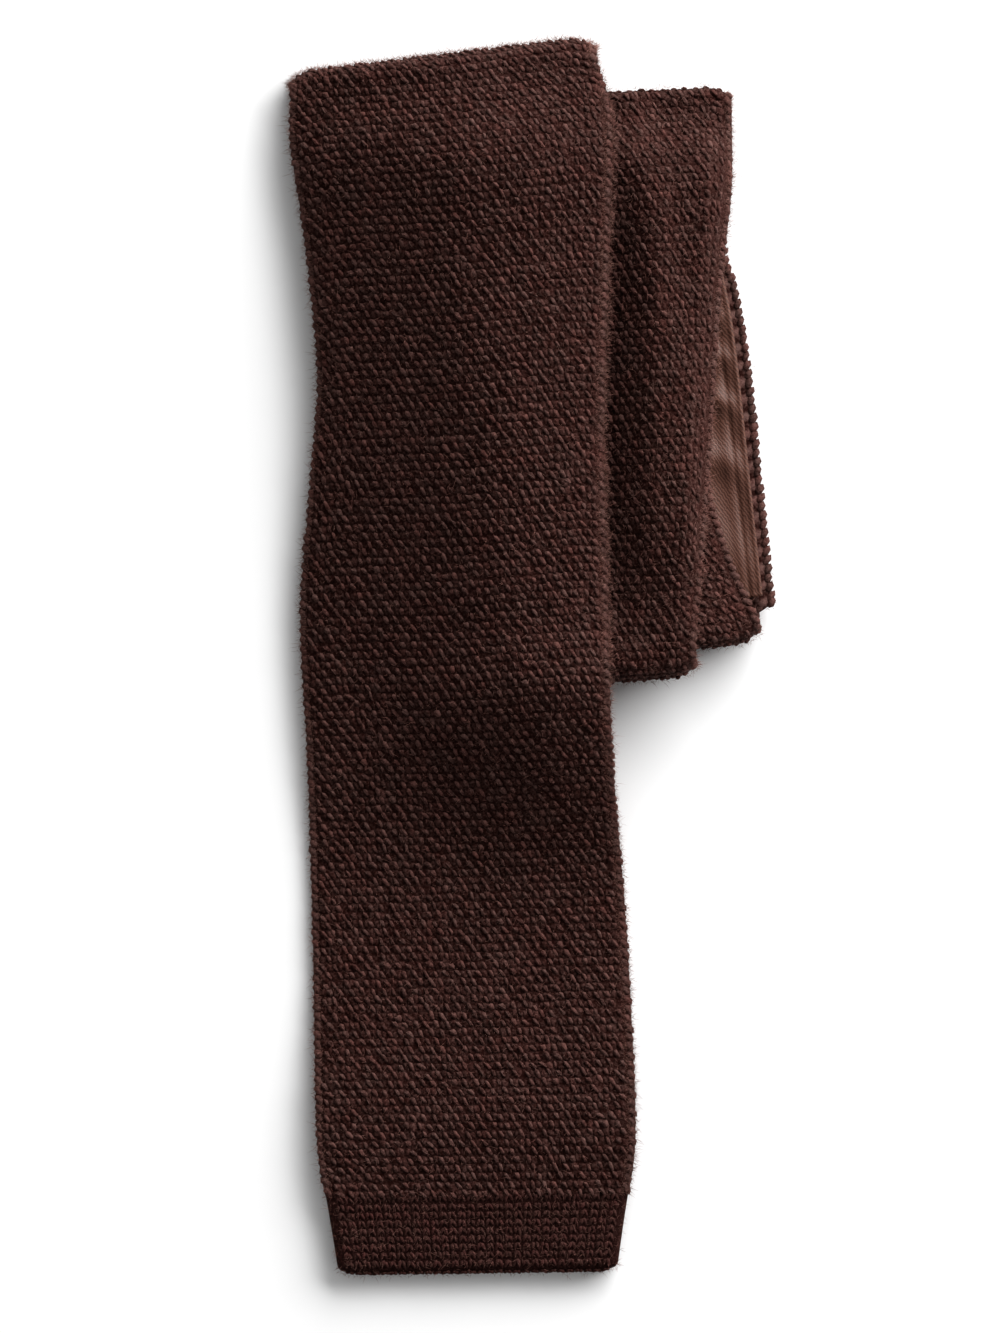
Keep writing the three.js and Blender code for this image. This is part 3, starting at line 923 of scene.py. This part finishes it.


# Wool: dark brown with redder fibre mixed in, and matt. Each point's painted light share mixes
# a dark shaded colour into a lighter lit colour: a painted highlight on the tops of the stitches,
# and painted shade on the ground between them, which lies deep.
def wool(name, shaded_colour, lit_colour, warm):
    paint = bpy.data.materials.new(name)
    paint.use_nodes = True
    nodes = paint.node_tree.nodes
    links = paint.node_tree.links
    shader = nodes["Principled BSDF"]
    shader.inputs["Roughness"].default_value = 0.75
    shader.inputs["Specular IOR Level"].default_value = 0.06
    shader.inputs["Sheen Weight"].default_value = 0.07
    shader.inputs["Sheen Roughness"].default_value = 0.5
    shader.inputs["Sheen Tint"].default_value = (0.85, 0.5, 0.42, 1)
    place = nodes.new("ShaderNodeTexCoord")

    def noise(scale, detail):
        texture = nodes.new("ShaderNodeTexNoise")
        texture.inputs["Scale"].default_value = scale
        texture.inputs["Detail"].default_value = detail
        links.new(place.outputs["Object"], texture.inputs["Vector"])
        return texture.outputs["Fac"]

    def add_scaled(value, share, base, clamp=False):
        node = nodes.new("ShaderNodeMath")
        node.operation = "MULTIPLY_ADD"
        node.use_clamp = clamp
        node.inputs[1].default_value = share
        links.new(value, node.inputs[0])
        if isinstance(base, float):
            node.inputs[2].default_value = base
        else:
            links.new(base, node.inputs[2])
        return node.outputs[0]

    # Painted light and shade: the painted light share, fibre noise and random yarn tone set how much of
    # the lit colour shows over the shaded colour.
    top = nodes.new("ShaderNodeAttribute")
    top.attribute_name = "painted_light"
    tone = nodes.new("ShaderNodeAttribute")
    tone.attribute_name = "yarn_tone"
    amount = add_scaled(top.outputs["Fac"], 1.0, -1.10)
    amount = add_scaled(noise(1900, 4), 2.2, amount)
    amount = add_scaled(tone.outputs["Fac"], 0.14, amount, True)
    painted_shading = nodes.new("ShaderNodeMix")
    painted_shading.data_type = "RGBA"
    painted_shading.inputs["A"].default_value = (*shaded_colour, 1)
    painted_shading.inputs["B"].default_value = (*lit_colour, 1)
    links.new(amount, painted_shading.inputs["Factor"])
    warmth = add_scaled(noise(240, 3), 2.2, -0.75)
    warmth = add_scaled(tone.outputs["Fac"], 0.35, warmth, True)
    reddened = nodes.new("ShaderNodeMix")
    reddened.data_type = "RGBA"
    reddened.blend_type = "MULTIPLY"
    reddened.inputs["B"].default_value = (*warm, 1)
    links.new(warmth, reddened.inputs["Factor"])
    links.new(painted_shading.outputs["Result"], reddened.inputs["A"])
    links.new(reddened.outputs["Result"], shader.inputs["Base Color"])
    bump = nodes.new("ShaderNodeBump")
    bump.inputs["Strength"].default_value = 0.7
    bump.inputs["Distance"].default_value = 0.00025
    links.new(noise(4200, 3), bump.inputs["Height"])
    links.new(bump.outputs["Normal"], shader.inputs["Normal"])
    return paint


moss_wool = wool("moss_wool", (0.0200, 0.0052, 0.0036), (0.112, 0.064, 0.056), (1.0, 0.78, 0.76))
plain_wool = wool("plain_wool", (0.0150, 0.0040, 0.0030), (0.068, 0.033, 0.028), (1.0, 0.78, 0.82))


def dress(pieces, paint, node):
    for piece in pieces:
        piece.data.materials.append(paint)
        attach(piece, "root")
        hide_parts(node)


blade_yarns = [blade_stitches, blade_plies, blade_strands, blade_selvedge]
roll_yarns = [roll_stitches, roll_plies, roll_strands, roll_selvedge]
tail_yarns = [tail_stitches, tail_plies, tail_strands, tail_selvedge, tail_binding]
dress([blade_knit, *blade_yarns], moss_wool, "knit_body")
dress([roll_knit, *roll_yarns], moss_wool, "knit_body")
dress([tail_knit, *tail_yarns], moss_wool, "knit_body")
dress([hem_band, hem_stitches], plain_wool, "blade_hem")

# Fuzz: fine hairs of the wool that stand away from the knit, all over it and more along its edges.
# One bent hair is modelled and copied, and the hairs are thicker and fewer than real ones. Their
# lengths follow a gamma distribution, in mm.
hair_radius = 0.032 * MM
hair_bend = 8
hair_step = 1 * MM
hair_outward = 1.2
hair_lift = (8, 50)
hair_gamma = (4, 0.17)
hair_half_length = (0.25, 1.9)
hair_start = 0.8
hair = bmesh.new()
bmesh.ops.create_uvsphere(hair, u_segments=3, v_segments=2, radius=1)
for vert in hair.verts:
    vert.co.y += hair_bend * vert.co.z ** 2
hair_shape = small_shape(hair, lambda up, yarn: np.ones(len(up)))


def fuzz(sheet, start, end, width, sides_from, sides_to, count, rise, outward):
    """Hairs on one stretch of a sheet. Those outward of 1 or -1 lean over that edge of the sheet."""
    distances = np.arange(start, end, hair_step)
    columns = max(int((sides_to - sides_from) * width / 2 / hair_step), 2)
    sides = np.linspace(sides_from, sides_to, columns)
    at = surface_at(sheet, distances, sides)
    pick = yarn_draw.integers(0, (len(distances), len(sides)), size=(count, 2))
    at = {key: grid[pick[:, 0], pick[:, 1]] for key, grid in at.items()}
    turn = yarn_draw.uniform(0, 2 * math.pi, count)[:, None]
    lift = np.radians(yarn_draw.uniform(*hair_lift, count))[:, None]
    flat = at["across"] * (np.cos(turn) + hair_outward * outward) + at["along"] * np.sin(turn)
    hair_way = unit(unit(flat) * np.cos(lift) + at["normal"] * np.sin(lift))
    beside = unit(np.cross(hair_way, at["normal"]))
    bent = np.cross(beside, hair_way)
    half_length = np.clip(yarn_draw.gamma(*hair_gamma, count), *hair_half_length)[:, None] * MM
    slide = yarn_draw.uniform(-0.5, 0.5, (2, count, 1))
    foot = at["place"] + at["normal"] * rise + at["across"] * slide[0] * hair_step
    foot = foot + at["along"] * slide[1] * hair_step
    places = foot + hair_way * half_length * hair_start
    axes = np.stack([beside * hair_radius, bent * hair_radius, hair_way * half_length], axis=1)
    lowest = places[:, 2] - np.abs(axes[:, 2, 2]) - hair_bend * np.abs(axes[:, 1, 2])
    places[:, 2] += np.maximum(-lowest, 0)
    return places, axes


def fuzz_piece(name, parts):
    grown = [fuzz(*part) for part in parts]
    places = np.concatenate([places for places, _ in grown])
    axes = np.concatenate([axes for _, axes in grown])
    tones = yarn_draw.uniform(-1, 1, len(places))
    return copies(name, hair_shape, places, axes, np.full(len(places), 0.5), tones)


knit_top = knit_thickness / 2 + 0.1 * MM
edge_top = 0.3 * MM
blade_part = (knit_sheet, 0, top_fold_end, blade_width)
hem_part = (hem_sheet, 0, hem_reach, hem_width)
second_part = (knit_sheet, second_start - fold_reach, second_end + fold_reach, neck_width)
fourth_part = (knit_sheet, fourth_start - fold_reach, fourth_end + fold_reach, tail_width)
blade_fuzz = fuzz_piece("blade_fuzz", [
    (*blade_part, -0.97, 0.97, 8500, knit_top, 0),
    (*blade_part, 0.93, 0.975, 12000, edge_top, 1),
    (*blade_part, -0.975, -0.94, 6000, edge_top, -1),
    (hem_sheet, hem_reach / 2, hem_reach, hem_width, -0.97, 0.97, 1500, hem_thickness / 2, 0),
    (*hem_part, 0.95, 0.975, 300, 0, 1),
    (*hem_part, -0.975, -0.95, 300, 0, -1),
])
roll_fuzz = fuzz_piece("roll_fuzz", [
    (*second_part, 0.05, 0.97, 4000, knit_top, 0),
    (*second_part, 0.93, 0.965, 3000, edge_top, 1),
    (*fourth_part, 0.3, 0.97, 2200, knit_top, 0),
    (*fourth_part, 0.92, 0.96, 1500, 0, 1),
    (knit_sheet, tail_start, strip_reach, tail_width, 0.92, 0.96, 1500, 0, 1),
])
fold_fuzz = fuzz_piece("fold_fuzz", [
    (knit_sheet, top_fold_start, top_fold_end, blade_width, -0.97, 0.97, 6500, knit_top, 0),
    (knit_sheet, second_end - 2 * MM, second_end + fold_reach, neck_width, 0.05, 0.97, 1800, knit_top, 0),
])
# The hairs are painted much lighter than the knit: painted light for the glow of light through the fuzz.
hair_wool = wool("hair_wool", (0.080, 0.038, 0.030), (0.36, 0.21, 0.175), (1.0, 0.8, 0.8))
dress([blade_fuzz, roll_fuzz, fold_fuzz], hair_wool, "knit_body")

# Lining: a strip of twilled satin, its edges turned in and sewn down along the tail's back. The
# turned-in edge shows as a ridge, and soft tucks, placed in mm from the strip's end, cross it.
lining_inset = 2.3 * MM
lining_end_inset = 4 * MM
lining_hidden = 8 * MM
satin_thickness = 0.5 * MM
turned_edge = 2.7 * MM
tail_length = float(np.linalg.norm(tail_end - tail_crease))
lining_sides = np.linspace(-1, 1, 121)
lining_share = 1 - 2 * lining_inset / tail_width
lining_rows = []
for along in np.linspace(1 - lining_end_inset / tail_length, lining_hidden / tail_length, 60):
    place = plan_points(tail_run, along, lining_sides * lining_share)
    height = underside(tail_run["level"] + 1, place) + satin_thickness / 2
    lining_rows.append(np.column_stack([place, height]))
lining_grid = np.array(lining_rows) + shift
lining_width = tail_width - 2 * lining_inset
lining_sheet = sheet_on(lining_grid)
lining_reach = float(lining_sheet["length"][-1, len(lining_sides) // 2, 0])
lining_tucks = {
    "from_end": [14, 35, 48.5, 59, 68],
    "height": [0.9, 1.3, 1.2, 1.1, 0.8],
    "reach": [7, 3.8, 2.6, 2.4, 2.4],
}
tuck_slant = 0.25
tuck_shift = 4
tuck_rise = 3 * MM
lip_height = 0.28 * MM
lip_inset = 0.35 * MM
lip_reach = 0.4 * MM
seam_depth = 0.30 * MM
seam_reach = 0.35 * MM
panel_height = 0.32 * MM
panel_rise = 1.6 * MM
pucker_height = 0.05 * MM
pucker_pitch = 3.1 * MM
pucker_reach = 1.4 * MM
back_height = 0.35 * MM
back_reach = 1.2 * MM


def bell(x, reach):
    return np.exp(-(x / reach) ** 2)


def lining_relief(sides, distances, width, facing):
    to_edge = (1 - np.abs(sides)) * width / 2
    near = np.minimum(to_edge, distances + 0.3 * MM)
    lip = lip_height * bell(near - lip_inset, lip_reach)
    seam = -seam_depth * bell(to_edge - turned_edge, seam_reach)
    panel = panel_height * smooth_step((to_edge - turned_edge) / panel_rise)
    puckers = pucker_height * np.cos(2 * math.pi * distances / pucker_pitch) * bell(near, pucker_reach)
    height = lip + seam + panel + puckers
    for from_end, tuck_height, reach in zip(*lining_tucks.values()):
        beyond = distances / MM - from_end + tuck_slant * sides * width / MM - tuck_shift
        height = height + tuck_height * MM * bell(beyond, reach) * smooth_step(to_edge / tuck_rise)
    back = -back_height * smooth_step(1 - near / back_reach)
    return np.where(facing > 0, height, back), 0 * height


tail_lining = cloth_wall(
    "tail_lining", lining_sheet, 0, lining_reach, lining_width, satin_thickness, 0.75 * MM * coarser,
    (110 // coarser, 30), lining_relief, 0.4 * MM)
satin = bpy.data.materials.new("lining_satin")
satin.use_nodes = True
satin_nodes = satin.node_tree.nodes
satin_links = satin.node_tree.links
satin_shader = satin_nodes["Principled BSDF"]
satin_shader.inputs["Roughness"].default_value = 0.50
satin_shader.inputs["Specular IOR Level"].default_value = 0.24
satin_shader.inputs["Sheen Weight"].default_value = 0.05
satin_place = satin_nodes.new("ShaderNodeUVMap")
satin_place.uv_map = "flat"
satin_turn = satin_nodes.new("ShaderNodeMapping")
satin_turn.inputs["Rotation"].default_value = (0, 0, math.radians(-27))
satin_links.new(satin_place.outputs["UV"], satin_turn.inputs["Vector"])
twill = satin_nodes.new("ShaderNodeTexWave")
twill.bands_direction = "X"
twill.inputs["Scale"].default_value = 520
twill.inputs["Distortion"].default_value = 4.5
twill.inputs["Detail"].default_value = 2
twill.inputs["Detail Scale"].default_value = 2.5
satin_links.new(satin_turn.outputs["Vector"], twill.inputs["Vector"])
satin_colour = satin_nodes.new("ShaderNodeMix")
satin_colour.data_type = "RGBA"
satin_colour.inputs["A"].default_value = (0.050, 0.019, 0.012, 1)
satin_colour.inputs["B"].default_value = (0.106, 0.045, 0.030, 1)
satin_links.new(twill.outputs["Fac"], satin_colour.inputs["Factor"])
satin_links.new(satin_colour.outputs["Result"], satin_shader.inputs["Base Color"])
satin_bump = satin_nodes.new("ShaderNodeBump")
satin_bump.inputs["Strength"].default_value = 0.35
satin_bump.inputs["Distance"].default_value = 0.00010
satin_links.new(twill.outputs["Fac"], satin_bump.inputs["Height"])
satin_links.new(satin_bump.outputs["Normal"], satin_shader.inputs["Normal"])
dress([tail_lining], satin, "lining")
